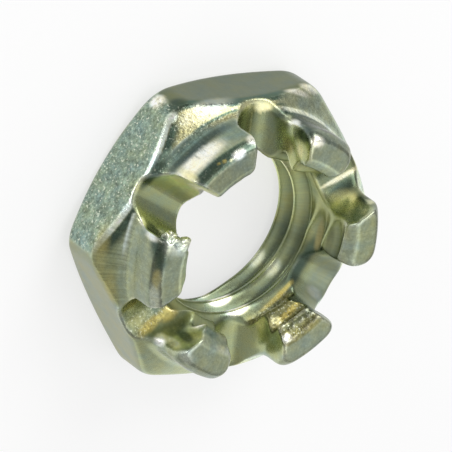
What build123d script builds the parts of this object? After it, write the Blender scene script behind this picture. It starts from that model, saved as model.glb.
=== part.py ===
"""Low castle nut, M18 x 2.5, one forged and tapped piece.

Frame: millimetres, +Z along the bore from the bearing face (z = 0) to the crown.
The flats' middles, and the slots cut over them, lie at 0, 60, ... 300 degrees,
and the hexagon's corners, each under one lug, lie at 30, 90, ... 330 degrees.
"""
from build123d import *
from build123d.topology import SkipClean
from math import ceil, radians, tan
import os

# ---- driving dimensions -------------------------------------------------------------
across_flats = 27.0            # wrench size
nut_height = 11.5              # bearing face to the lugs' end face
corner_diameter = 30.7         # forged blank, just inside the hexagon's sharp corners
corner_round = 1.0             # rounding of the hexagon's upright edges

bearing_face_diameter = 25.8   # flat ring that bears on the work
base_chamfer_angle = 30.0      # degrees, from the bearing face

corner_height = 4.5            # top of a corner's upright edge, where the shoulder starts
shoulder_top = 6.9             # where the shoulder meets the crown's wall
crown_diameter = 25.0
crown_bevel_height = 0.95      # bevel round the lugs' outer edge
crown_bevel_width = 0.75
shoulder_foot_round = 0.7      # hollow corner between shoulder and crown wall
crown_edge_round = 0.35        # both edges of the bevel

slot_count = 6
slot_width = 5.6
slot_floor_height = 6.1        # lowest line of a slot's rounded floor
slot_mouth_round = 0.6         # rounding of the slot walls' upper edges

thread_diameter = 18.0         # nominal, major
thread_pitch = 2.5
thread_angle = 60.0
thread_start = -75.0           # degrees from +X to where a groove's middle crosses z = 0
bore_allowance = 0.45          # tapped bore over its basic diameter, wide end of class 6H
base_countersink_diameter = 18.0
crown_countersink_diameter = 19.2
countersink_angle = 90.0       # whole angle

# ---- derived sizes ------------------------------------------------------------------
thread_height = thread_pitch / 2 / tan(radians(thread_angle / 2))
minor_diameter = thread_diameter - 2 * 5 / 8 * thread_height + bore_allowance
corner_radius = corner_diameter / 2
crown_radius = crown_diameter / 2
minor_radius = minor_diameter / 2
major_radius = thread_diameter / 2
overshoot = thread_pitch       # how far cutting tools run past the nut
on_base = (Align.CENTER, Align.CENTER, Align.MIN)


def turned_blank():
    """Outline turned about the bore's axis: chamfered base, shoulder and bevelled crown."""
    bearing_radius = bearing_face_diameter / 2
    chamfer_rise = (corner_radius - bearing_radius) * tan(radians(base_chamfer_angle))
    bevel_foot = nut_height - crown_bevel_height
    with BuildPart() as blank:
        with BuildSketch(Plane.XZ) as outline:
            with BuildLine():
                Polyline(
                    (0, 0),
                    (bearing_radius, 0),
                    (corner_radius, chamfer_rise),
                    (corner_radius, corner_height),
                    (crown_radius, shoulder_top),
                    (crown_radius, bevel_foot),
                    (crown_radius - crown_bevel_width, nut_height),
                    (0, nut_height),
                    close=True,
                )
            make_face()
            ring_corners = outline.vertices()
            foot = [v for v in ring_corners if abs(v.Z - shoulder_top) < 1e-6]
            fillet(foot, shoulder_foot_round)
            edges = [v for v in outline.vertices() if v.Z > bevel_foot - 1e-6 and v.X > 1e-6]
            fillet(edges, crown_edge_round)
        revolve(axis=Axis.Z)
    return blank.part


def hexagon():
    """Hexagonal prism with eased upright edges and flats facing 0, 60, ... degrees."""
    with BuildPart() as prism:
        with BuildSketch():
            RegularPolygon(across_flats / 2, 6, major_radius=False, rotation=30)
        extrude(amount=nut_height)
        fillet(prism.edges().filter_by(Axis.Z), corner_round)
    return prism.part


def slot_cutter():
    """One slot: round floor, upright walls and a mouth that flares in a convex arc."""
    half = slot_width / 2
    spring = slot_floor_height + half
    top = nut_height + overshoot
    mouth = nut_height - slot_mouth_round
    with BuildPart() as cutter:
        with BuildSketch(Plane.YZ):
            with BuildLine():
                ThreePointArc((-half, spring), (0, slot_floor_height), (half, spring))
                Line((half, spring), (half, mouth))
                RadiusArc((half, mouth), (half + slot_mouth_round, nut_height), slot_mouth_round)
                Polyline(
                    (half + slot_mouth_round, nut_height),
                    (half + slot_mouth_round, top),
                    (-half - slot_mouth_round, top),
                    (-half - slot_mouth_round, nut_height),
                )
                RadiusArc((-half - slot_mouth_round, nut_height), (-half, mouth), slot_mouth_round)
                Line((-half, mouth), (-half, spring))
            make_face()
        extrude(amount=across_flats)
    return cutter.part


def bore_sectors():
    """Tapping-drill bore as equal pie sectors.

    Each sector leaves its own face on the wall, so what the thread leaves of the wall
    is a row of short crest faces and not one face that winds through every turn.
    """
    sector = Cylinder(minor_radius, nut_height, arc_size=360 / slot_count, align=Align.NONE)
    return [Rot(0, 0, 360 / slot_count * step) * sector for step in range(slot_count)]


def thread_turns():
    """Helical groove of the internal thread, one turn after another along the bore."""
    inside = minor_radius - thread_pitch / 8
    root_half = thread_pitch / 16
    mouth_half = root_half + (major_radius - inside) * tan(radians(thread_angle / 2))
    with BuildPart() as turn:
        with BuildLine():
            Helix(thread_pitch, thread_pitch, minor_radius)
        with BuildSketch(Plane.XZ):
            Polygon(
                (inside, -mouth_half),
                (major_radius, -root_half),
                (major_radius, root_half),
                (inside, mouth_half),
                align=None,
            )
        sweep(is_frenet=True)
    first = Rot(0, 0, thread_start) * turn.part
    turns = ceil(nut_height / thread_pitch) + 2
    return [Pos(0, 0, thread_pitch * (step - 1)) * first for step in range(turns)]


def countersink(mouth_diameter):
    """Cone that opens the bore at one end, its mouth lying in the plane z = 0."""
    slope = tan(radians(countersink_angle / 2))
    depth = mouth_diameter / 2 / slope
    wide_end = mouth_diameter / 2 + overshoot * slope
    return Pos(0, 0, -depth) * Cone(0, wide_end, depth + overshoot, align=on_base)


def castle_nut():
    """The blank, bored, tapped, countersunk and slotted in that order."""
    countersinks = [
        Pos(0, 0, nut_height) * countersink(crown_countersink_diameter),
        Rot(180, 0, 0) * countersink(base_countersink_diameter),
    ]
    slots = PolarLocations(0, slot_count) * slot_cutter()
    body = turned_blank() & hexagon()
    with SkipClean():
        for cutters in (bore_sectors(), thread_turns(), countersinks, slots):
            body = body - cutters
    return body


os.makedirs("parts", exist_ok=True)
nut = castle_nut()
nut.label = "castle_nut"
export_step(nut, "parts/castle_nut.step")
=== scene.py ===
"""Low castle nut, M18 x 2.5: the looks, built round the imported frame.

Sizes in the modelling functions are in millimetres and are scaled to metres when the
mesh is made. The hexagon's size and the height come from the frame; the others are the
part's own dimensions, named below. Turns are degrees round the bore's axis from +X.
The slots, A to F, lie at 0, 60 ... 300 degrees with a flat under each, and the lugs
between them, first to sixth, at 30, 90 ... 330 degrees with a corner under each.
"""
from math import cos, pi, radians, sin, sqrt, tan

import bpy
import numpy as np
from mathutils import Matrix, Vector


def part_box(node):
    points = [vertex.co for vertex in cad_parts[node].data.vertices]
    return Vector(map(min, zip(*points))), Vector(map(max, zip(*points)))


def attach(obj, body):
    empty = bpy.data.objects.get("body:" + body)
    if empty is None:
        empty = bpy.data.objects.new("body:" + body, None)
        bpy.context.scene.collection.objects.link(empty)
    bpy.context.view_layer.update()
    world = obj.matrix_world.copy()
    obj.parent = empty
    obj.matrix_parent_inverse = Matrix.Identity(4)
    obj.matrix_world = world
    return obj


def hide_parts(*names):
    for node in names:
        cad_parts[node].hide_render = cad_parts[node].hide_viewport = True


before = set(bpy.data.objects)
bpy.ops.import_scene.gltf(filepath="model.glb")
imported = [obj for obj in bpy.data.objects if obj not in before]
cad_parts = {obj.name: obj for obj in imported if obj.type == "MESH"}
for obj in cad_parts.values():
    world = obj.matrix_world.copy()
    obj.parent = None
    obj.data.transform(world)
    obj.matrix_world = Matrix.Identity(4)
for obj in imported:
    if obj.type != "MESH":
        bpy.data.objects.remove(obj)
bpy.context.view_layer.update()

# ---- the nominal nut, millimetres ------------------------------------------------------
MM = 0.001
LOW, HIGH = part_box("castle_nut")
FLATS = (HIGH[0] - LOW[0]) / MM          # across flats
HEIGHT = (HIGH[2] - LOW[2]) / MM
CORNER_RADIUS = (HIGH[1] - LOW[1]) / MM / 2
BEARING_RADIUS = 12.9
CHAMFER_SLOPE = tan(radians(30))
CORNER_HEIGHT = 4.5                      # top of a corner's upright edge
SHOULDER_TOP = 6.9
CROWN_RADIUS = 12.5
BEVEL_HEIGHT = 0.95
BEVEL_WIDTH = 0.75
SLOT_TURNS = (0, 60, 120, 180, 240, 300)
LUG_TURNS = (30, 90, 150, 210, 270, 330)
SLOT_HALF = 2.8                          # half a slot's width
SLOT_FLOOR = 6.1                         # lowest line of its round floor
PITCH = 2.5
MAJOR_RADIUS = 9.0
MINOR_RADIUS = 7.87
THREAD_TURN = -75.0                      # turn of a root at z = 0
THREAD_SLOPE = 0.7                       # share of the radial gap that is distance from its flanks
BASE_SINK_RADIUS = 9.0
CROWN_SINK_RADIUS = 9.6

# ---- how softly its surfaces meet: the width over which two of them blend ----------------
EDGE_BLEND = 0.3
CHAMFER_BLEND = 0.4
SHOULDER_BLEND = 0.5
FOOT_BLEND = 0.7                         # hollow corner between shoulder and crown wall
FLAT_BLEND = 0.5                         # where flats cut the turned body
SLOT_BLEND = 0.35
BASE_SINK_BLEND = 0.25
BURR_BLEND = 0.2
CORNER_BLEND = 1.6                       # the hexagon's upright edges
FULL_CORNER = 150.0                      # turn of the corner that is eased least
FULL_CORNER_LESS = 0.9                   # and by how much less

# ---- what this one nut shows of its making and wear ---------------------------------------
# Spans are (none here, all from here, all to here, none from here). Reaches are in degrees
# from a turn, as (all to here, none from here).
CORNER_WEAR = (                          # turn of each lug's corners, extra blend
    (13, 0), (47, 0), (73, 0), (107, 0.2), (133, 1.2), (167, 1.6),
    (193, 1.6), (227, 1.3), (253, 3.4), (287, 0.3), (313, 2.0), (347, 1.2),
)
SHOULDER_LIFT = (                        # turn, how much higher the shoulder was forged
    (0, 0), (30, 0), (60, 0.25), (90, 0.45), (120, 0.6), (150, 0.5), (180, 0.2),
    (210, 0), (250, 0), (275, 0.45), (300, 0.2), (320, -0.15), (340, 0),
)
PINCH = 0.35                             # slot E's mouth is narrower
PINCH_TURN = 240.0
PINCH_REACH = (28, 30)
PINCH_HEIGHTS = (8.3, 9.3)               # none, all
LEAN = 0.12                              # slope of the first lug's side in slot B
LEAN_TURNS = (25, 32, 50, 60)
LEAN_DEPTH = 3.0                         # from the lugs' end face down
SINK_EXTRA = 0.5                         # the base countersink is deeper on one side
SINK_TURN = 168.0
SINK_REACH = (10, 40)
LIP_RADIUS = 7.5                         # thread metal that stands in under slot B
LIP_TURN = 62.0
LIP_REACH = (12, 30)
LIP_HEIGHTS = (4.6, 5.5, 7.0, 8.0)
RELIEF_TURN = 299.0                      # middle of where the last crest is broken out
RELIEF_REACH = (11, 38)
RELIEF_HEIGHT = 5.1                      # height there of the root below that crest
RELIEF_RISE = 0.4                        # from that root up to where all of the crest is gone
TORN_LUGS = ((210, 1.0), (150, 0.4))     # turn, strength of the torn thread inside the lug
TORN_REACH = (14, 24)
TORN_RADII = (10.6, 9.9)                 # none, all
TORN_HEIGHTS = (6.6, 7.6)                # none, all
TORN_SPACING = 1.0                       # of its ridges
TORN_RIDGES = 0.03                       # relief of each kind, in and out
TORN_LUMPS = 0.04
TORN_CRUMBS = 0.03
BURR_TURN = 60.0                         # turn of slot B, whose edge the burr hangs over
BURR_LUMPS = (                           # along the slot, across it and up: middle, reach
    ((9.4, 2.5, 10.9), (1.0, 0.85, 0.6)),
    ((10.5, 2.6, 10.85), (0.9, 0.75, 0.6)),
    ((11.3, 2.45, 10.6), (0.5, 0.75, 0.5)),
)

GRID = 0.16                              # spacing of the sampling grid
TRIANGLES = 190000
SETTLING_ROUNDS = 4
LEAST_SLOPE = 0.1                        # squared; keeps a settling step short where the field is flat


# ---- helpers for fields and masks --------------------------------------------------------
NOISE_TILE = 32                          # cells after which the noise repeats


def ramp(low, high, value):
    """Smooth rise from 0 at low to 1 at high; falls where high is below low."""
    t = np.clip((value - low) / (high - low), 0, 1)
    return t * t * (3 - 2 * t)


def within(span, value):
    """1 inside a span of four limits; a span of two has only its first side."""
    mask = ramp(span[0], span[1], value)
    if len(span) == 4:
        mask = mask * ramp(span[3], span[2], value)
    return mask


def shares_away(place, middle, reach):
    """Distance from a middle, as a share of the reach in each direction."""
    return np.sqrt(sum(((at - centre) / far) ** 2 for at, centre, far in zip(place, middle, reach)))


def turn_from(angle, centre):
    """Signed degrees from centre round to angle."""
    return (angle - centre + 180) % 360 - 180


def near_turn(angle, centre, reach):
    """1 up to reach[0] degrees either side of a turn, falling to 0 at reach[1]."""
    return ramp(reach[1], reach[0], np.abs(turn_from(angle, centre)))


def by_turn(angle, table):
    """Values given as (turn, value), blended on the way from each turn to the next."""
    turns, values = zip(*table)
    return np.interp(angle, turns, values, period=360)


def lattice_noise(x, y, z, cell, seed):
    """Smooth noise between -1 and 1 whose bumps are about one cell across."""
    values = np.random.RandomState(seed).uniform(-1, 1, (NOISE_TILE,) * 3)
    place = [np.asarray(v) / cell for v in (x, y, z)]
    base = [np.floor(v).astype(np.int64) for v in place]
    share = [v - b for v, b in zip(place, base)]
    share = [s * s * (3 - 2 * s) for s in share]
    total = 0
    for i in (0, 1):
        for j in (0, 1):
            for k in (0, 1):
                weight = 1
                for s, near in zip(share, (i, j, k)):
                    weight = weight * (s if near else 1 - s)
                at = tuple((b + near) % NOISE_TILE for b, near in zip(base, (i, j, k)))
                total = total + weight * values[at]
    return total


# ---- the solid as a field: negative inside, about millimetres from the surface ------------
def smooth_max(a, b, width):
    """The larger of two fields, with their meeting edge rounded over width."""
    overlap = np.maximum(width - np.abs(a - b), 0) / width
    return np.maximum(a, b) + overlap * overlap * width / 4


def smooth_min(a, b, width):
    """The smaller of two fields, with their meeting corner filled over width."""
    return -smooth_max(-a, -b, width)


def outward(x, y, turn):
    """Distance along the direction of a turn."""
    return x * cos(radians(turn)) + y * sin(radians(turn))


def sideways(x, y, turn):
    """Distance to the left of the line that runs out at a turn."""
    return y * cos(radians(turn)) - x * sin(radians(turn))


def turn_of(x, y):
    """Degrees round from +X, between -180 and 180."""
    return np.degrees(np.arctan2(y, x))


def hexagon(x, y):
    """Distance outside the hexagon's nearest flat, corners eased."""
    sides = [np.abs(outward(x, y, turn)) - FLATS / 2 for turn in SLOT_TURNS[:3]]
    fuller = np.maximum(outward(x, y, FULL_CORNER), 0) / CORNER_RADIUS
    ease = CORNER_BLEND - FULL_CORNER_LESS * fuller
    return smooth_max(smooth_max(sides[0], sides[1], ease), sides[2], ease)


def line_side(r, z, start, end):
    """Distance of (r, z) to the right of the line from start to end."""
    dr, dz = end[0] - start[0], end[1] - start[1]
    return ((r - start[0]) * dz - (z - start[1]) * dr) / sqrt(dr * dr + dz * dz)


def base_form(r, z, angle):
    """The wide lower part: base chamfer, and a shoulder that stands higher on some sides."""
    lifted = z - by_turn(angle, SHOULDER_LIFT)
    chamfer_rise = (CORNER_RADIUS - BEARING_RADIUS) * CHAMFER_SLOPE
    chamfer = line_side(r, z, (BEARING_RADIUS, 0), (CORNER_RADIUS, chamfer_rise))
    shoulder = line_side(r, lifted, (CORNER_RADIUS, CORNER_HEIGHT), (CROWN_RADIUS, SHOULDER_TOP))
    upper = smooth_max(r - CORNER_RADIUS, shoulder, SHOULDER_BLEND)
    return smooth_max(upper, smooth_max(-z, chamfer, CHAMFER_BLEND), EDGE_BLEND)


def crown_form(r, z, gap, angle):
    """The crown's wall and bevel, its upright corners beside the gaps eased lug by lug."""
    bevel = line_side(r, z, (CROWN_RADIUS, HEIGHT - BEVEL_HEIGHT), (CROWN_RADIUS - BEVEL_WIDTH, HEIGHT))
    side = smooth_max(r - CROWN_RADIUS, bevel, EDGE_BLEND)
    side = smooth_max(side, gap, EDGE_BLEND + by_turn(angle, CORNER_WEAR))
    crown = smooth_max(side, z - HEIGHT, EDGE_BLEND)
    return np.maximum(crown, SHOULDER_TOP / 2 - z)


def slots(x, y, z):
    """Distance inside the nearest of the six round-floored slots."""
    turn = pi / 3
    angle = np.arctan2(y, x)
    off = angle - np.round(angle / turn) * turn
    across = np.hypot(x, y) * np.sin(off)
    below = np.minimum(z - SLOT_FLOOR - SLOT_HALF, 0)
    leaning = LEAN * within(LEAN_TURNS, turn_of(x, y)) * np.clip(HEIGHT - z, 0, LEAN_DEPTH)
    pinched = PINCH * near_turn(turn_of(x, y), PINCH_TURN, PINCH_REACH) * within(PINCH_HEIGHTS, z)
    return SLOT_HALF - np.hypot(across, below) - leaning - pinched


def thread_radius(turn, z):
    """The thread as a rounded wave, with the last crest broken out round one turn."""
    along = np.cos(2 * pi * z / PITCH - np.radians(turn - THREAD_TURN))
    above_root = z - RELIEF_HEIGHT - PITCH * turn_from(turn, RELIEF_TURN) / 360
    relief = near_turn(turn, RELIEF_TURN, RELIEF_REACH) * ramp(0, RELIEF_RISE, above_root)
    along = along + (1 - along) * relief
    return MINOR_RADIUS + (MAJOR_RADIUS - MINOR_RADIUS) * (0.5 + 0.5 * along)


def bore(x, y, r, z):
    """Distance inside the tapped hole, its two countersinks included."""
    turn = turn_of(x, y)
    wall = thread_radius(turn, z)
    lip = near_turn(turn, LIP_TURN, LIP_REACH) * within(LIP_HEIGHTS, z)
    wall = wall + (LIP_RADIUS - wall) * lip
    thread = (wall - r) * THREAD_SLOPE
    deeper = SINK_EXTRA * near_turn(turn, SINK_TURN, SINK_REACH)
    base_sink = (BASE_SINK_RADIUS + deeper - z - r) * sqrt(0.5)
    crown_sink = (CROWN_SINK_RADIUS - (HEIGHT - z) - r) * sqrt(0.5)
    return smooth_max(smooth_max(thread, base_sink, BASE_SINK_BLEND), crown_sink, EDGE_BLEND)


def burr(x, y, z):
    """Metal torn over into slot B from the second lug, as rough lumps along its edge."""
    place = (outward(x, y, BURR_TURN), sideways(x, y, BURR_TURN), z)
    lumps = [(shares_away(place, middle, reach) - 1) * min(reach) for middle, reach in BURR_LUMPS]
    rough = 0.14 * lattice_noise(x, y, z, cell=0.5, seed=5) + 0.12 * lattice_noise(x, y, z, cell=0.25, seed=6)
    return np.minimum.reduce(lumps) + rough


def torn(x, y, z, r, angle):
    """Rough relief, in and out, where the thread is torn inside two of the lugs."""
    where = sum(strength * near_turn(angle, turn, TORN_REACH) for turn, strength in TORN_LUGS)
    where = where * within(TORN_RADII, r) * within(TORN_HEIGHTS, z)
    wander = 2 * lattice_noise(x, y, z, cell=1.5, seed=7)
    ridges = TORN_RIDGES * np.sin(2 * pi * (r + z) / TORN_SPACING + wander)
    lumps = TORN_LUMPS * lattice_noise(x, y, z, cell=0.6, seed=8)
    crumbs = TORN_CRUMBS * lattice_noise(x, y, z, cell=0.3, seed=9)
    return where * (ridges + lumps + crumbs)


def nut_field(x, y, z):
    """The whole nut: base and crown joined, cut to a hexagon, slotted and tapped."""
    r = np.hypot(x, y)
    gap = slots(x, y, z)
    angle = turn_of(x, y) % 360
    body = smooth_min(base_form(r, z, angle), crown_form(r, z, gap, angle), FOOT_BLEND)
    body = smooth_max(body, hexagon(x, y), FLAT_BLEND)
    body = smooth_max(body, gap, SLOT_BLEND)
    body = smooth_min(body, burr(x, y, z), BURR_BLEND)
    return smooth_max(body, bore(x, y, r, z) + torn(x, y, z, r, angle), EDGE_BLEND)


# ---- field to mesh ---------------------------------------------------------------------
def put(name, data):
    """A new object of the scene that shows the given data."""
    piece = bpy.data.objects.new(name, data)
    bpy.context.scene.collection.objects.link(piece)
    return piece


def sample_field(step):
    """Field values on a grid that clears the nut by two steps on every side."""
    sides = np.arange(-CORNER_RADIUS - 2 * step, CORNER_RADIUS + 3 * step, step)
    heights = np.arange(-2 * step, HEIGHT + 3 * step, step)
    x, y = np.meshgrid(sides, sides, indexing="ij")
    layers = [nut_field(x, y, np.full_like(x, z)) for z in heights]
    return np.stack(layers, axis=2), np.array([sides[0], sides[0], heights[0]])


def cell_points(values):
    """A vertex in each grid cell that the surface crosses, in steps, and its cell."""
    inside = values < 0
    cells = [n - 1 for n in values.shape]
    corners = [(i, j, k) for i in (0, 1) for j in (0, 1) for k in (0, 1)]

    def at_corner(array, corner):
        return array[tuple(slice(c, c + n) for c, n in zip(corner, cells))]

    count = sum(at_corner(inside, corner).astype(np.int8) for corner in corners)
    active = np.argwhere((count > 0) & (count < 8))
    at = {corner: values[tuple((active + corner).T)] for corner in corners}
    total = np.zeros((len(active), 3))
    crossings = np.zeros(len(active))
    for a in corners:
        for axis in range(3):
            if a[axis]:
                continue
            b = tuple(c + (n == axis) for n, c in enumerate(a))
            cut = (at[a] < 0) != (at[b] < 0)
            share = np.where(cut, at[a] / np.where(cut, at[a] - at[b], 1), 0)
            total += (np.array(a) + np.outer(share, np.eye(3)[axis])) * cut[:, None]
            crossings += cut
    return active + total / crossings[:, None], active


def cell_faces(inside, active):
    """A four-sided face round each grid edge that the surface cuts, facing outward."""
    index = np.full([n - 1 for n in inside.shape], -1, dtype=np.int64)
    index[tuple(active.T)] = np.arange(len(active))
    faces = []
    for axis in range(3):
        side, other = (axis + 1) % 3, (axis + 2) % 3
        ahead = np.take(inside, range(1, inside.shape[axis]), axis)
        behind = np.take(inside, range(0, inside.shape[axis] - 1), axis)
        for sign, edges in ((1, behind & ~ahead), (-1, ahead & ~behind)):
            at_edge = np.argwhere(edges)
            ring = []
            for ds, do in ((0, 0), (-1, 0), (-1, -1), (0, -1)):
                cell = at_edge.copy()
                cell[:, side] += ds
                cell[:, other] += do
                ring.append(index[tuple(cell.T)])
            ring = np.stack(ring, axis=1)
            faces.append(ring if sign > 0 else ring[:, ::-1])
    return np.concatenate(faces)


def field_slope(points):
    """Gradient of the field at each point."""
    tiny = 0.01
    slope = np.empty_like(points)
    for axis in range(3):
        ahead, behind = points.copy(), points.copy()
        ahead[:, axis] += tiny
        behind[:, axis] -= tiny
        slope[:, axis] = nut_field(*ahead.T) - nut_field(*behind.T)
    return slope / (2 * tiny)


def settle(points):
    """Move points onto the field's zero surface along its gradient."""
    for _ in range(SETTLING_ROUNDS):
        slope = field_slope(points)
        size = np.maximum((slope ** 2).sum(axis=1), LEAST_SLOPE)
        move = slope * (nut_field(*points.T) / size)[:, None]
        points = points - np.clip(move, -GRID / 2, GRID / 2)
    return points


def thinned(piece, faces):
    """The piece's mesh, its four-sided faces brought down to the wanted triangles."""
    thin = piece.modifiers.new("thin", "DECIMATE")
    thin.ratio = min(1.0, TRIANGLES / (2 * faces))
    bpy.context.view_layer.update()
    evaluated = piece.evaluated_get(bpy.context.evaluated_depsgraph_get())
    finished = bpy.data.meshes.new_from_object(evaluated)
    piece.modifiers.clear()
    return finished


def nut_mesh():
    """The nut's one piece: the field's surface as a smooth-shaded mesh."""
    values, origin = sample_field(GRID)
    steps, active = cell_points(values)
    faces = cell_faces(values < 0, active)
    points = settle(origin + steps * GRID)
    mesh = bpy.data.meshes.new("nut_body")
    mesh.from_pydata((points * MM).tolist(), [], faces.tolist())
    mesh.update()
    piece = put("nut_body", mesh)
    piece.data = thinned(piece, len(faces))
    piece.data.name = "nut_body"
    piece.data.shade_smooth()
    return piece


# ---- tints, linear red, green and blue ----------------------------------------------------
ZINC = np.array((0.42, 0.49, 0.36))
PALE = np.array((0.62, 0.68, 0.55))
# Laid as painted highlights, and in part on edges rubbed bright.
BRIGHT = np.array((0.98, 0.99, 0.90))
STRAW = np.array((0.78, 0.77, 0.46))
OLIVE = np.array((0.36, 0.40, 0.22))
OCHRE = np.array((0.36, 0.33, 0.13))
GOLD = np.array((0.62, 0.52, 0.16))
TEAL = np.array((0.22, 0.32, 0.27))
# Near-black, laid only as painted shade.
PAINTED_SHADE = np.array((0.055, 0.085, 0.065))
# Laid as painted highlights.
MINT = np.array((0.84, 0.96, 0.88))
# Pale colour of the painted glints.
SPECK = (0.85, 0.90, 0.72, 1)

FLAT_TINTS = (                           # flat by flat, as SLOT_TURNS: the plating's hue, each flat made lighter or darker as painted light and shade
    0.2 * TEAL + 0.3 * OLIVE,
    0.70 * TEAL + 0.27 * ZINC,
    0.42 * ZINC + 0.14 * PALE + 0.1 * STRAW,
    0.8 * ZINC,
    0.8 * ZINC,
    0.6 * ZINC,
)
SHOULDER_TINTS = (                       # lug by lug, as LUG_TURNS, and so are the next four: the plating's hue, lighter or darker lug by lug as painted light and shade
    0.48 * STRAW + 0.14 * GOLD,
    0.9 * OLIVE,
    0.5 * ZINC + 0.65 * OLIVE,
    1.8 * ZINC,
    1.8 * ZINC,
    0.8 * ZINC,
)
WALL_TINTS = (0.8 * ZINC, 0.7 * ZINC, 0.78 * ZINC, ZINC, ZINC, 0.2 * ZINC)
BEVEL_TINTS = (2.0 * PAINTED_SHADE, 0.32 * ZINC, 0.62 * ZINC, 0.7 * ZINC, 0.42 * ZINC, 0.5 * ZINC)
END_TINTS = (
    0.47 * ZINC,
    0.5 * ZINC + 0.08 * OLIVE,
    0.58 * ZINC,
    0.63 * ZINC,
    0.35 * ZINC + 0.35 * OLIVE,
    0.59 * ZINC,
)
SINK_TINTS = (0.7 * ZINC, 1.8 * ZINC, 0.9 * ZINC, 0.22 * ZINC + 0.18 * GOLD, 0.95 * ZINC, 1.4 * ZINC)
TROUGH_TURNS = (-90, -60, -30, 0, 30, 60, 90)     # degrees round a slot's floor, 0 at its lowest line
TROUGH_SHADES = (                                 # painted light and shade, as shares of OLIVE, slot by slot, at those turns
    (1.5, 0.8, 0.75, 0.55, 1.0, 0.8, 0.9),
    (3.4, 2.8, 1.3, 0.85, 0.75, 1.1, 1.9),
    (1.1, 0.9, 1.1, 0.55, 0.55, 0.7, 1.5),
    (1.1, 0.9, 0.9, 1.0, 0.85, 1.15, 1.3),
    (0.45, 0.65, 1.1, 0.9, 1.2, 1.2, 1.2),
    (1.0, 0.7, 0.6, 0.42, 0.5, 1.1, 1.2),
)
THREAD_SHADES = (                                 # turn, painted light and shade as a share of OLIVE
    (15, 1.4), (45, 4.4), (75, 0.8), (105, 0.9), (135, 1.2), (165, 0.68),
    (195, 0.46), (225, 0.72), (255, 0.6), (285, 1.6), (315, 2.4), (345, 1.3),
)
CREST_RADIUS = 7.9                       # up to here it is all crest
CREST_SHADE = 1.25                       # of those shades, painted lighter on the thread's crests
ROOT_SHADE = 0.80                        # and painted darker in its roots

# Zones, as spans of the radius, the height and the upward share of the normal. A span is
# (none here, all from here) or (none here, all from here, all to here, none from here).
ZONES = {
    "shoulder": {"radius": (12.4, 12.7), "upward": (0.3, 0.5)},
    "shoulder_top": {"radius": (13.6, 13.0)},
    "wall": {"radius": (12.0, 12.2, 12.7, 12.9), "height": (6.6, 7.0), "upward": (0.45, 0.3)},
    # Spans for painted shade at the wall's foot and a painted highlight line along it.
    "wall_foot": {"radius": (12.3, 12.5, 12.8, 12.95), "height": (6.7, 7.0, 7.6, 7.9)},
    "foot_highlight_line": {"radius": (12.55, 12.65, 12.8, 12.9), "height": (6.5, 6.7, 7.1, 7.3)},
    "bevel": {"radius": (10.8, 11.2), "height": (10.2, 10.5), "upward": (0.25, 0.4, 0.93, 0.97)},
    "end": {"height": (11.0, 11.2), "upward": (0.93, 0.98)},
    "flat": {"radius": (12.9, 13.2)},
    "over_flats": {"radius": (12.8, 13.0), "height": (4.0, 4.6)},
    # Spans for the painted highlight over flat B and the painted shade beside it and over flat A.
    "painted_highlight_rim": {"upward": (0.28, 0.40, 0.68, 0.74)},
    "inside_rim": {"upward": (0.68, 0.74)},
    "painted_shade_rim": {"upward": (0.08, 0.2, 0.70, 0.745)},
    "slot": {"height": (5.9, 6.1)},
    "slot_floor": {"upward": (0.6, 0.8)},
    "slot_outer_end": {"radius": (9.8, 11.0)},
    "slot_inner_end": {"radius": (10.2, 9.4)},
    "crown_thread": {"height": (6.0, 7.0)},
    "crown_sink": {"height": (10.0, 10.3)},
    "below_crown_sink": {"height": (10.2, 9.6)},
}
HOLE_SPAN = (-0.25, -0.08)               # of the distance inside a slot or the bore
FACING_SPAN = (0.85, 0.90)               # of the share of the normal that points out of a flat
BAND_SPAN = (0.3, 0.5, 0.8, 1.5)         # of the distance in from the edge of flat B
EDGE_SPAN = (0.8, 2.6)                   # of the sharpness of an edge that is rubbed bright
CORNER_SPAN = (-0.8, -2.6)               # and of a corner darkened as painted shade
MARK_SPAN = (1.3, 0.5)                   # of the share of a mark's reach
BESIDE_FADE = 4                          # degrees either side of where a turn's reach ends
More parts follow.
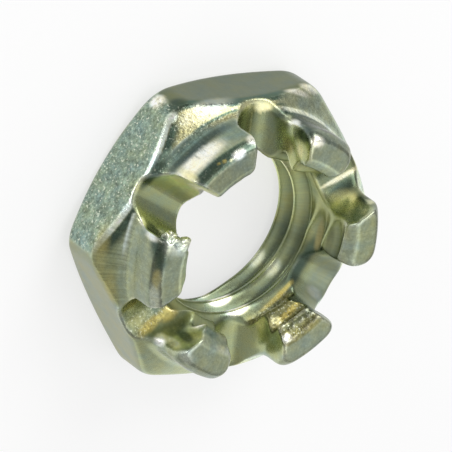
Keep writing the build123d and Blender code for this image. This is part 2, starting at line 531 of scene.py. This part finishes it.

# Painted highlights, painted shade and stains: turn, radius and height of the middle; reach
# around, outward and upward; tint; how strongly it shows. The bright and pale ones are painted highlights,
# the dark ones painted shade, the gold, ochre and olive ones stains.
STAINS_AND_PAINTED_LIGHT = (
    ((38, 12.5, 9.2), (3.0, 0.5, 1.2), BRIGHT, 1.0),        # first lug: painted highlight on the wall, painted shade at its foot and bevel, gold specks
    ((17, 12.5, 8.8), (1.8, 0.5, 1.6), 0.8 * TEAL, 0.8),
    ((34, 12.5, 7.6), (4.2, 0.5, 0.8), 0.3 * TEAL, 0.95),
    ((38, 12.8, 6.9), (4.0, 0.5, 0.5), 0.9 * TEAL, 0.9),
    ((49, 13.1, 6.5), (1.8, 0.7, 0.6), TEAL, 0.8),
    ((36, 12.1, 11.0), (2.6, 0.6, 0.6), 1.3 * PAINTED_SHADE, 0.7),
    ((24, 11.9, 11.25), (0.7, 0.5, 0.4), BRIGHT, 1.0),
    ((15, 12.3, 10.8), (0.6, 0.4, 0.6), BRIGHT, 0.8),
    ((31, 12.05, 11.1), (0.22, 0.2, 0.15), GOLD, 0.8),
    ((33.5, 12.15, 11.0), (0.18, 0.2, 0.12), GOLD, 0.6),
    ((28.5, 11.85, 11.3), (0.2, 0.2, 0.12), STRAW, 0.8),
    ((32, 15.1, 2.4), (0.8, 0.5, 0.8), BRIGHT, 1.0),
    ((29, 14.9, 4.3), (1.1, 0.6, 0.9), PAINTED_SHADE, 0.9),
    ((33.5, 14.7, 5.0), (0.6, 0.5, 0.4), MINT, 1.0),
    ((45.5, 12.4, 9.7), (0.5, 0.4, 1.6), STRAW, 0.7),
    ((20, 14.0, 5.7), (3.0, 1.0, 0.8), BRIGHT, 0.3),
    ((58, 12.9, 6.4), (1.0, 0.6, 0.5), PAINTED_SHADE, 0.9),
    ((51, 13.1, 6.9), (1.3, 0.5, 0.8), 1.5 * PAINTED_SHADE, 0.9),
    ((73, 10.7, 11.0), (1.4, 1.9, 0.9), PALE + 0.1, 0.9),   # second lug: pale burr, painted shade on its side, painted highlight lines on the wall, gold stains
    ((76, 12.3, 10.7), (1.4, 0.6, 1.0), PAINTED_SHADE, 0.9),
    ((83, 11.9, 11.2), (1.0, 0.6, 0.5), 1.3 * PAINTED_SHADE, 0.9),
    ((100, 12.1, 11.0), (1.6, 0.5, 0.5), PALE, 0.9),
    ((74, 11.4, 8.6), (0.7, 1.0, 1.6), 1.3 * PAINTED_SHADE, 0.8),
    ((72, 12.3, 7.6), (0.35, 0.3, 0.9), BRIGHT, 1.0),
    ((75, 12.4, 9.6), (0.35, 0.3, 0.9), BRIGHT, 0.8),
    ((91, 12.0, 11.1), (0.9, 0.5, 0.4), 0.4 * GOLD + 0.5 * ZINC, 0.9),
    ((88, 14.3, 5.4), (2.6, 0.7, 0.8), 0.5 * GOLD + 0.5 * OLIVE, 0.6),
    ((101, 13.4, 6.1), (2.0, 0.8, 0.6), 0.5 * GOLD + 0.4 * OLIVE, 0.6),
    ((121, 12.0, 6.4), (1.8, 1.6, 0.6), 0.6 * OLIVE + 0.15 * GOLD, 0.8),
    ((129, 11.4, 6.8), (0.5, 1.6, 0.6), 0.7 * GOLD, 0.8),   # slot C and the third lug: gold stains, painted shade, painted highlight crescents
    ((131, 9.5, 6.9), (0.9, 1.1, 0.6), 0.8 * GOLD, 0.8),
    ((136, 10.0, 8.2), (1.0, 1.3, 0.8), 0.5 * OLIVE, 0.8),
    ((137, 10.2, 9.7), (0.8, 0.5, 1.3), 1.2 * PAINTED_SHADE, 0.85),
    ((134, 11.8, 8.0), (0.5, 0.6, 0.7), BRIGHT, 1.0),
    ((135, 11.3, 9.4), (0.6, 0.4, 1.1), BRIGHT, 1.0),
    ((139, 8.5, 9.5), (0.6, 0.6, 0.6), BRIGHT, 1.0),
    ((134, 12.1, 11.0), (1.0, 0.5, 0.5), 0.8 * ZINC, 0.8),
    ((137, 11.6, 11.2), (1.0, 0.6, 0.5), 0.8 * PALE, 0.9),
    ((145, 8.6, 10.3), (1.2, 0.6, 0.6), 0.8 * TEAL, 0.8),
    ((158, 9.4, 11.2), (1.4, 0.4, 0.4), PALE, 0.8),
    ((185, 7.9, 1.2), (0.9, 0.6, 0.6), BRIGHT, 1.0),        # painted highlights on the thread's crests, then painted shade further round
    ((188, 7.9, 3.3), (1.2, 0.6, 0.6), BRIGHT, 1.0),
    ((190, 7.9, 5.7), (1.2, 0.6, 0.6), BRIGHT, 1.0),
    ((229, 8.1, 1.5), (1.0, 0.6, 0.6), PALE, 0.9),
    ((230, 8.1, 4.0), (1.0, 0.6, 0.6), PALE, 0.7),
    ((240, 8.6, 6.2), (3.0, 0.8, 0.8), PAINTED_SHADE, 0.9),
    ((231, 8.5, 5.7), (2.6, 0.7, 0.6), PAINTED_SHADE, 0.85),
    ((251, 8.5, 6.7), (1.8, 0.6, 0.6), 1.5 * PAINTED_SHADE, 0.8),
    ((264, 8.8, 7.0), (1.6, 0.5, 0.3), 0.6 * GOLD + 0.2 * PALE, 0.7),
    ((219, 8.6, 6.5), (2.4, 0.4, 0.16), GOLD, 0.65),        # fourth lug: torn thread, gold stains, darker olive lines, a painted highlight
    ((197.5, 8.7, 7.8), (0.5, 0.9, 0.7), STRAW, 1.0),
    ((210, 8.3, 7.6), (2.2, 0.8, 0.6), 0.8 * OLIVE, 0.6),
    ((215, 8.6, 9.0), (1.8, 0.5, 0.2), GOLD, 0.6),
    ((203, 8.6, 9.1), (0.6, 0.6, 0.6), 0.6 * GOLD + 0.3 * PALE, 0.9),
    ((202, 8.5, 10.5), (0.9, 0.4, 0.25), 0.5 * OLIVE, 0.7),
    ((217, 8.65, 10.6), (1.8, 0.4, 0.3), 0.5 * OLIVE, 0.7),
    ((201, 9.2, 11.1), (0.5, 0.4, 0.4), BRIGHT, 0.9),
    ((233, 11.7, 6.5), (0.5, 1.1, 0.6), BRIGHT, 0.25),      # slot E: a faint painted highlight
    ((248, 10.6, 6.6), (1.0, 1.6, 0.5), 0.5 * OLIVE + 0.4 * ZINC, 0.7),
    ((268, 8.3, 9.2), (3.0, 0.35, 0.5), 0.5 * OLIVE, 0.8),  # fifth lug
    ((271, 9.2, 10.4), (2.6, 0.5, 0.5), 0.7 * PALE, 0.7),
    ((292.5, 11.5, 6.5), (0.22, 2.6, 0.3), 0.5 * BRIGHT + 0.5 * STRAW, 0.9),   # slot F: a painted highlight line, painted shade, a gold stain
    ((289.5, 11.3, 7.1), (0.7, 2.0, 0.6), PAINTED_SHADE, 0.9),
    ((285, 10.4, 8.3), (1.1, 1.4, 1.4), 0.6 * GOLD + 0.9 * OLIVE, 0.95),
    ((284.5, 12.0, 9.5), (1.0, 0.6, 1.7), PAINTED_SHADE, 0.9),
    ((284, 10.8, 10.6), (0.4, 0.5, 0.4), STRAW, 0.8),
    ((286, 12.0, 10.1), (0.4, 0.4, 0.4), PALE, 0.8),
    ((342, 11.6, 11.4), (0.8, 0.6, 0.5), BRIGHT, 1.0),      # sixth lug: painted highlights and painted shade
    ((338, 12.5, 8.6), (1.9, 0.5, 1.6), 0.8 * PAINTED_SHADE, 0.9),
    ((345, 11.6, 8.5), (0.5, 0.8, 0.7), BRIGHT, 1.0),
    ((345, 11.6, 10.2), (0.7, 0.8, 1.0), PAINTED_SHADE, 0.9),
    ((349, 12.4, 7.0), (0.9, 0.6, 0.6), PAINTED_SHADE, 0.7),
    ((343, 10.0, 10.0), (0.5, 0.6, 0.6), STRAW, 0.8),
    ((343, 9.9, 8.4), (0.6, 0.8, 0.8), 0.8 * OCHRE, 0.7),
    ((356, 12.6, 6.3), (1.2, 0.4, 0.4), STRAW + 0.15, 0.9),
    ((325, 12.5, 9.6), (1.6, 0.5, 1.0), 1.1 * ZINC, 0.9),
    ((332, 14.8, 4.9), (1.2, 0.6, 0.5), BRIGHT, 0.6),
    ((339, 14.2, 5.5), (1.8, 0.4, 0.3), BRIGHT, 0.7),
    ((0, 13.0, 6.3), (2.0, 0.5, 0.5), STRAW, 0.7),          # painted highlight on the rim of the first slot's floor
)


# ---- finish, zone by zone ------------------------------------------------------------------
class Place:
    """Points on the nut's surface, with what their zones are told apart by."""

    def __init__(self, points, normals):
        self.points = points
        self.normals = normals
        self.x, self.y, self.height = points.T
        self.radius = np.hypot(self.x, self.y)
        self.angle = turn_of(self.x, self.y) % 360
        self.upward = normals[:, 2]

    def zone(self, name):
        """1 in one of the ZONES, 0 outside it."""
        mask = 1
        for measure, span in ZONES[name].items():
            mask = mask * within(span, getattr(self, measure))
        return mask

    def beside(self, turn, reach):
        """1 within reach degrees of a turn, falling to 0 a little further out."""
        return near_turn(self.angle, turn, (reach - BESIDE_FADE, reach + BESIDE_FADE))

    def flat(self, turn):
        """1 on the flat that faces out at a turn."""
        facing = self.normals @ np.array([cos(radians(turn)), sin(radians(turn)), 0])
        return within(FACING_SPAN, facing) * self.zone("flat")


class Finish:
    """Tint, roughness, grain and streak at each point, laid one over another."""

    def __init__(self, count):
        self.tint = np.tile(ZINC, (count, 1))
        self.values = {
            "rough": np.full(count, 0.30),
            "grain": np.full(count, 0.35),
            "streak": np.full(count, 0.10),
        }

    def lay(self, mask, tint=None, **values):
        """Blend a tint and finish values in where the mask is 1."""
        if tint is not None:
            self.tint += (np.asarray(tint) - self.tint) * mask[:, None]
        for name, value in values.items():
            self.values[name] += (value - self.values[name]) * mask


def lug_tints(angle, tints):
    """Tints given lug by lug, blended on the way from each lug to the next."""
    channels = zip(*tints)
    return np.stack([by_turn(angle, tuple(zip(LUG_TURNS, channel))) for channel in channels], axis=1)


def olive_in_painted_shade(shade):
    """OLIVE at each painted shade, turning to TEAL where that painted shade is dark."""
    share = np.clip(shade, 0, 1)[:, None]
    return shade[:, None] * (OLIVE * share + TEAL * (1 - share))


def trough_shade(place):
    """Painted light and shade of the slots' floors and sides, from the place round each slot's floor."""
    shade = np.ones_like(place.x)
    tiny = 0.01
    below = np.maximum(SLOT_FLOOR + SLOT_HALF - place.height, tiny)
    for turn, shades in zip(SLOT_TURNS, TROUGH_SHADES):
        across = sideways(place.x, place.y, turn)
        here = np.abs(turn_from(place.angle, turn)) <= 180 / len(SLOT_TURNS)
        shade[here] = np.interp(np.degrees(np.arctan2(across, below)), TROUGH_TURNS, shades)[here]
    return shade


def sharpness(points):
    """Curvature of the surface, per millimetre: above zero on edges, below in corners."""
    near = 0.2
    total = -6 * nut_field(*points.T)
    for axis in range(3):
        for way in (-near, near):
            moved = points.copy()
            moved[:, axis] += way
            total = total + nut_field(*moved.T)
    return total / near ** 2


def finish_outside(finish, place):
    """Shoulders, crown walls, bevels and lug ends lug by lug, and the six flats, in tints that carry painted
    light and shade.
    """
    shoulder = place.zone("shoulder")
    finish.lay(shoulder, lug_tints(place.angle, SHOULDER_TINTS), grain=0.8, rough=0.26, streak=0.1)
    finish.lay(shoulder * place.beside(90, 25), grain=0.25, streak=0.35)
    finish.lay(shoulder * place.beside(150, 25), grain=0.12)
    finish.lay(shoulder * place.beside(330, 25), grain=0.45)
    finish.lay(shoulder * place.beside(90, 25) * place.zone("shoulder_top"), 0.7 * ZINC + 0.3 * OLIVE)
    finish.lay(place.zone("wall"), lug_tints(place.angle, WALL_TINTS), rough=0.24, grain=0.3, streak=0.15)
    finish.lay(place.zone("bevel"), lug_tints(place.angle, BEVEL_TINTS), rough=0.25, grain=0.4)
    finish.lay(place.zone("end"), lug_tints(place.angle, END_TINTS), rough=0.34, grain=0.35)
    for turn, tint in zip(SLOT_TURNS, FLAT_TINTS):
        finish.lay(place.flat(turn), tint, rough=0.34, grain=0.12, streak=0.05)
    finish.lay(place.flat(60), rough=0.28, grain=1.0)


def finish_rims(finish, place, over_flat_a):
    """A painted highlight along the rim over flat B, and bands of painted shade inside it and over flat A."""
    over_flats = place.zone("over_flats")
    finish.lay(over_flats * place.zone("painted_highlight_rim") * place.beside(60, 27), MINT, rough=0.2, grain=0.3)
    finish.lay(over_flat_a * place.zone("painted_shade_rim"), 1.8 * PAINTED_SHADE)
    shade_band = over_flats * place.zone("inside_rim") * within(BAND_SPAN, -hexagon(place.x, place.y))
    finish.lay(shade_band * place.beside(60, 28), 1.2 * PAINTED_SHADE)


def finish_wall_feet(finish, place):
    """Where crown wall and shoulder meet: painted shade in the sixth lug's foot, and a pale line painted as a
    highlight there and at the second.
    """
    finish.lay(place.zone("wall_foot") * place.beside(330, 22), 1.5 * PAINTED_SHADE)
    highlight_line_share = 0.8 * place.beside(332, 20) + 0.3 * place.beside(92, 14)
    finish.lay(place.zone("foot_highlight_line") * highlight_line_share, PALE + 0.2, grain=0.9)


def finish_slots(finish, place):
    """The slots' glossy floors and sides, satin in slots B, C and E, with painted light and shade round each
    trough.
    """
    in_slot = within(HOLE_SPAN, slots(place.x, place.y, place.height)) * place.zone("slot")
    finish.lay(in_slot, olive_in_painted_shade(trough_shade(place)), rough=0.27, grain=0.06, streak=0.1)
    finish.lay(in_slot * place.beside(46, 8), rough=0.5, grain=0.2)
    finish.lay(in_slot * place.beside(137, 6), rough=0.38, grain=0.3)
    finish.lay(in_slot * place.beside(127, 8) * place.zone("slot_floor"), grain=0.7)
    # Slot E: painted light toward its outer end, painted shade toward the bore.
    outer_end = in_slot * place.zone("slot_outer_end")
    finish.lay(outer_end * place.beside(240, 20), 0.62 * ZINC + 0.15 * OLIVE, rough=0.4)
    inner_end = in_slot * place.zone("slot_inner_end")
    finish.lay(inner_end * place.beside(244, 12), 0.7 * OLIVE)


def finish_thread(finish, place, in_hole):
    """The thread, in painted light and shade turn by turn and lighter on crests than in roots, glossiest near
    the fourth lug; the crown's countersink and that lug's torn inside.
    """
    depth = ramp(CREST_RADIUS, MAJOR_RADIUS, place.radius)
    shade = by_turn(place.angle, THREAD_SHADES) * (CREST_SHADE + (ROOT_SHADE - CREST_SHADE) * depth)
    finish.lay(in_hole, olive_in_painted_shade(shade), rough=0.38, grain=0.05, streak=0.1)
    finish.lay(in_hole * place.beside(205, 30), rough=0.24)
    finish.lay(in_hole * place.zone("crown_sink"), lug_tints(place.angle, SINK_TINTS), grain=0.4)
    fourth_lug = place.zone("crown_thread") * place.beside(208, 16)
    finish.lay(in_hole * fourth_lug, 0.33 * OLIVE + 0.13 * GOLD, grain=0.9, rough=0.32)


def finish_stains_and_painted_light(finish, place):
    """The painted highlights, painted shade and stains of that table, each fading out around its middle."""
    for (turn, radius, height), reach, tint, strength in STAINS_AND_PAINTED_LIGHT:
        around = np.radians(turn_from(place.angle, turn)) * radius
        away = shares_away((around, place.radius, place.height), (0, radius, height), reach)
        finish.lay(strength * within(MARK_SPAN, away), tint)


def finish_wear_and_corner_shade(finish, place, open_to_wear_and_shade):
    """Edges rubbed bright, and painted shade darkening the corners."""
    sharp = sharpness(place.points)
    rubbed = 0.5 * BRIGHT + 0.5 * finish.tint
    finish.lay(0.32 * open_to_wear_and_shade * within(EDGE_SPAN, sharp), rubbed, rough=0.2)
    # Painted shade in the concave corners.
    finish.lay(0.5 * open_to_wear_and_shade * within(CORNER_SPAN, sharp), 0.5 * finish.tint)


def finished(points, normals):
    """The finish of every point, from the zones that it lies in."""
    place = Place(points, normals)
    finish = Finish(len(points))
    in_hole = within(HOLE_SPAN, bore(place.x, place.y, place.radius, place.height))
    over_flat_a = place.zone("over_flats") * place.beside(8, 22)
    finish_outside(finish, place)
    finish_rims(finish, place, over_flat_a)
    finish_wall_feet(finish, place)
    finish_slots(finish, place)
    finish_thread(finish, place, in_hole)
    finish_stains_and_painted_light(finish, place)
    finish_wear_and_corner_shade(finish, place, (1 - in_hole * place.zone("below_crown_sink")) * (1 - over_flat_a))
    return finish


def store_finish(mesh):
    """Write the finish of every vertex as attributes that the material reads."""
    count = len(mesh.vertices)
    points, normals = np.empty(count * 3), np.empty(count * 3)
    mesh.vertices.foreach_get("co", points)
    mesh.vertex_normals.foreach_get("vector", normals)
    finish = finished(points.reshape(-1, 3) / MM, normals.reshape(-1, 3))
    # The tint carries painted light and shade as well as the plating's colours.
    tint = np.ones((count, 4))
    tint[:, :3] = finish.tint
    mesh.attributes.new("tint", "FLOAT_COLOR", "POINT").data.foreach_set("color", tint.ravel())
    for name, values in finish.values.items():
        mesh.attributes.new(name, "FLOAT", "POINT").data.foreach_set("value", values)


# ---- materials ---------------------------------------------------------------------------
class Material:
    """A new material's node tree, with short calls for the nodes used here."""

    def __init__(self, name):
        self.made = bpy.data.materials.new(name)
        self.made.use_nodes = True
        self.tree = self.made.node_tree
        self.bsdf = self.tree.nodes["Principled BSDF"]

    def feed(self, node, feeds):
        """Give a node's inputs, by name or number, values or other nodes' sockets."""
        for key, value in feeds.items():
            if isinstance(value, bpy.types.NodeSocket):
                self.tree.links.new(value, node.inputs[key])
            else:
                node.inputs[key].default_value = value

    def node(self, kind, feeds, **settings):
        """A new node with its inputs fed."""
        node = self.tree.nodes.new(kind)
        for key, value in settings.items():
            setattr(node, key, value)
        self.feed(node, feeds)
        return node

    def add(self, kind, feeds, output=0, **settings):
        """An output socket of a new node."""
        return self.node(kind, feeds, **settings).outputs[output]

    def math(self, operation, a, b=0.0):
        return self.add("ShaderNodeMath", {0: a, 1: b}, operation=operation)

    def stored(self, name, output):
        """An attribute of the mesh."""
        return self.add("ShaderNodeAttribute", {}, output, attribute_name=name)

    def noise(self, place, scale, detail, rough):
        feeds = {"Vector": place, "Scale": scale, "Detail": detail, "Roughness": rough}
        return self.add("ShaderNodeTexNoise", feeds)

    def spread(self, value, low, high, to_low, to_high):
        """A value's range from low to high, spread over another."""
        return self.add("ShaderNodeMapRange", {0: value, 1: low, 2: high, 3: to_low, 4: to_high})

    def swing(self, noise, to_low, to_high):
        """A noise's usual range, spread over another."""
        return self.spread(noise, 0.3, 0.7, to_low, to_high)

    def varied(self, level, share, noise, swing):
        """A level raised and lowered by a noise, by a share of the swing."""
        change = self.math("MULTIPLY", share, self.swing(noise, -swing, swing))
        return self.math("MULTIPLY", level, self.math("ADD", 1.0, change))

    def rgb(self, red, green, blue):
        return self.add("ShaderNodeCombineColor", {0: red, 1: green, 2: blue})

    def blend(self, mode, factor, a, b):
        settings = {"data_type": "RGBA", "blend_type": mode, "clamp_result": False}
        return self.add("ShaderNodeMix", {0: factor, 6: a, 7: b}, 2, **settings)


BRUSH_CELLS = (60.0, 0.2, 0.3)           # of noise per radian round, per mm outward and upward


def polar(mat, place):
    """Noise coordinates that change fast round the bore and slowly outward and upward."""
    x, y, z = mat.node("ShaderNodeSeparateXYZ", {0: place}).outputs
    radius = mat.math("SQRT", mat.math("ADD", mat.math("MULTIPLY", x, x), mat.math("MULTIPLY", y, y)))
    turn = mat.math("ARCTAN2", y, x)
    measures = zip((turn, radius, z), BRUSH_CELLS)
    return mat.add("ShaderNodeCombineXYZ", {
        axis: mat.math("MULTIPLY", measure, cells) for axis, (measure, cells) in enumerate(measures)
    })


def plated_steel():
    """Zinc plate: the stored tint with its painted light and shade, broken up by blotches, fine grain, specks
    painted pale as glints, and brush marks.
    """
    mat = Material("plated_steel")
    place = mat.add("ShaderNodeTexCoord", {}, "Object")
    place = mat.add("ShaderNodeVectorMath", {0: place, 1: (1 / MM,) * 3}, operation="MULTIPLY")
    grain, streak, rough = (mat.stored(name, "Fac") for name in ("grain", "streak", "rough"))
    fine = mat.noise(place, scale=3.4, detail=3.0, rough=0.65)
    blotch = mat.noise(place, scale=0.55, detail=4.0, rough=0.6)
    cloud = mat.noise(place, scale=1.3, detail=3.0, rough=0.6)
    lines = mat.noise(polar(mat, place), scale=1.0, detail=2.0, rough=0.6)
    specks = mat.spread(mat.noise(place, scale=4.6, detail=1.0, rough=0.5), 0.60, 0.72, 0.0, 1.0)

    ranges = ((0.90, 1.12), (0.96, 1.03), (1.08, 0.82))      # of red, green and blue
    warmth = mat.rgb(*(mat.swing(blotch, *ends) for ends in ranges))
    level = mat.varied(1.0, grain, fine, 0.42)
    level = mat.varied(level, streak, lines, 0.6)
    level = mat.varied(level, grain, cloud, 0.3)
    # Painted glints: the colour turns pale at the specks where the grain is strong.
    glint = mat.math("MULTIPLY", mat.math("MULTIPLY", grain, grain), mat.math("MULTIPLY", specks, 0.75))
    colour = mat.blend("MULTIPLY", 1.0, mat.stored("tint", "Color"), warmth)
    colour = mat.blend("MULTIPLY", 1.0, colour, mat.rgb(level, level, level))
    colour = mat.blend("MIX", glint, colour, SPECK)

    brushed = mat.math("MULTIPLY", streak, mat.math("MULTIPLY", lines, 0.35))
    height = mat.math("ADD", mat.math("MULTIPLY", grain, fine), brushed)
    height = mat.math("ADD", height, mat.math("MULTIPLY", cloud, 0.25))
    mat.feed(mat.bsdf, {
        "Base Color": colour,
        "Metallic": 1,
        "Roughness": mat.math("ADD", rough, mat.swing(fine, -0.05, 0.05)),
        "Normal": mat.add("ShaderNodeBump", {"Strength": 1.0, "Distance": 0.04 * MM, "Height": height}),
    })
    return mat.made


WHITE_SHARE = 0.65      # how far the floor is seen as plain white; the rest is lit and shadowed


def floor_white():
    """Matt white, seen partly as plain white by the camera and in reflections."""
    mat = Material("floor_white")
    mat.feed(mat.bsdf, {"Base Color": (0.95, 0.95, 0.95, 1), "Roughness": 0.9, "Specular IOR Level": 0})
    rays = mat.node("ShaderNodeLightPath", {}).outputs
    seen = 0.0
    for name in ("Is Camera Ray", "Is Glossy Ray", "Is Transmission Ray"):
        seen = mat.math("MAXIMUM", rays[name], seen)
    white = mat.add("ShaderNodeEmission", {})
    share = mat.math("MULTIPLY", seen, WHITE_SHARE)
    mixed = mat.add("ShaderNodeMixShader", {0: share, 1: mat.bsdf.outputs[0], 2: white})
    mat.feed(mat.tree.nodes["Material Output"], {"Surface": mixed})
    return mat.made


# ---- floor, camera and lights --------------------------------------------------------------
FLOOR_HALF = 2.0                         # metres

VIEW_TURN = 53.995                       # degrees round to the camera,
VIEW_LIFT = 47.011                       # up to it,
VIEW_ROLL = 125.255                      # and that it is rolled over to its left
VIEW_DISTANCE = 19.0                     # in widths across flats
VIEW_SCALE = 0.6552                      # a width across flats, as a share of the picture
VIEW_OFFSET = (0.05827, -0.03783)        # picture's centre from the origin, right and up
SENSOR_MM = 36.0

LAMP_DISTANCE = 0.35                     # metres
LAMPS = (                                # degrees round and up, side in metres, radiance
    ("key", 340, 36, 0.20, 3.2),
    ("front", 58, 13, 0.10, 3.0),
    ("fill", 234, 52, 0.30, 0.5),
    ("overhead", 54, 84, 0.34, 0.9),
)
WORLD_STRENGTH = 0.52


def floor():
    """A plain floor in the plane that the nut rests on."""
    corners = [(x * FLOOR_HALF, y * FLOOR_HALF, 0) for x, y in ((-1, -1), (1, -1), (1, 1), (-1, 1))]
    mesh = bpy.data.meshes.new("floor")
    mesh.from_pydata(corners, [], [(0, 1, 2, 3)])
    mesh.materials.append(floor_white())
    put("floor", mesh)


def direction(turn, lift):
    """Unit vector that points turn degrees round and lift degrees up."""
    level = cos(radians(lift))
    return Vector((cos(radians(turn)) * level, sin(radians(turn)) * level, sin(radians(lift))))


def camera():
    """The camera at the photograph's angle, aimed beside the nut as the photograph is."""
    back = direction(VIEW_TURN, VIEW_LIFT)
    level_right = direction(VIEW_TURN + 90, 0)
    level_up = back.cross(level_right)
    right = level_right * cos(radians(VIEW_ROLL)) + level_up * sin(radians(VIEW_ROLL))
    up = back.cross(right)
    width = FLATS * MM
    aim = (right * VIEW_OFFSET[0] + up * VIEW_OFFSET[1]) * (width / VIEW_SCALE)
    turned = Matrix((right, up, back)).transposed().to_4x4()
    data = bpy.data.cameras.new("camera")
    data.sensor_width = SENSOR_MM
    data.lens = SENSOR_MM * VIEW_SCALE * VIEW_DISTANCE
    data.clip_end = 10
    piece = put("camera", data)
    piece.matrix_world = Matrix.Translation(aim + back * VIEW_DISTANCE * width) @ turned
    bpy.context.scene.camera = piece


def softbox(name, turn, lift, size, radiance):
    """A square lamp aimed at the nut from turn degrees round and lift degrees up."""
    data = bpy.data.lights.new(name, "AREA")
    data.size = size
    data.energy = radiance * pi * size ** 2
    away = direction(turn, lift)
    piece = put(name, data)
    piece.location = away * LAMP_DISTANCE
    piece.rotation_euler = away.to_track_quat("Z", "Y").to_euler()
    piece.visible_camera = False


def lights():
    """A plain white world and four soft lamps."""
    world = bpy.data.worlds.new("studio")
    world.use_nodes = True
    background = world.node_tree.nodes["Background"]
    background.inputs["Color"].default_value = (1, 1, 1, 1)
    background.inputs["Strength"].default_value = WORLD_STRENGTH
    bpy.context.scene.world = world
    for lamp in LAMPS:
        softbox(*lamp)


def main():
    """The dressed nut in place of its CAD node, on the floor, lit and in view."""
    nut = nut_mesh()
    nut.data.materials.clear()
    nut.data.materials.append(plated_steel())
    store_finish(nut.data)
    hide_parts("castle_nut")
    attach(nut, "root")
    floor()
    camera()
    lights()
    bpy.context.scene.view_settings.view_transform = "Standard"


main()
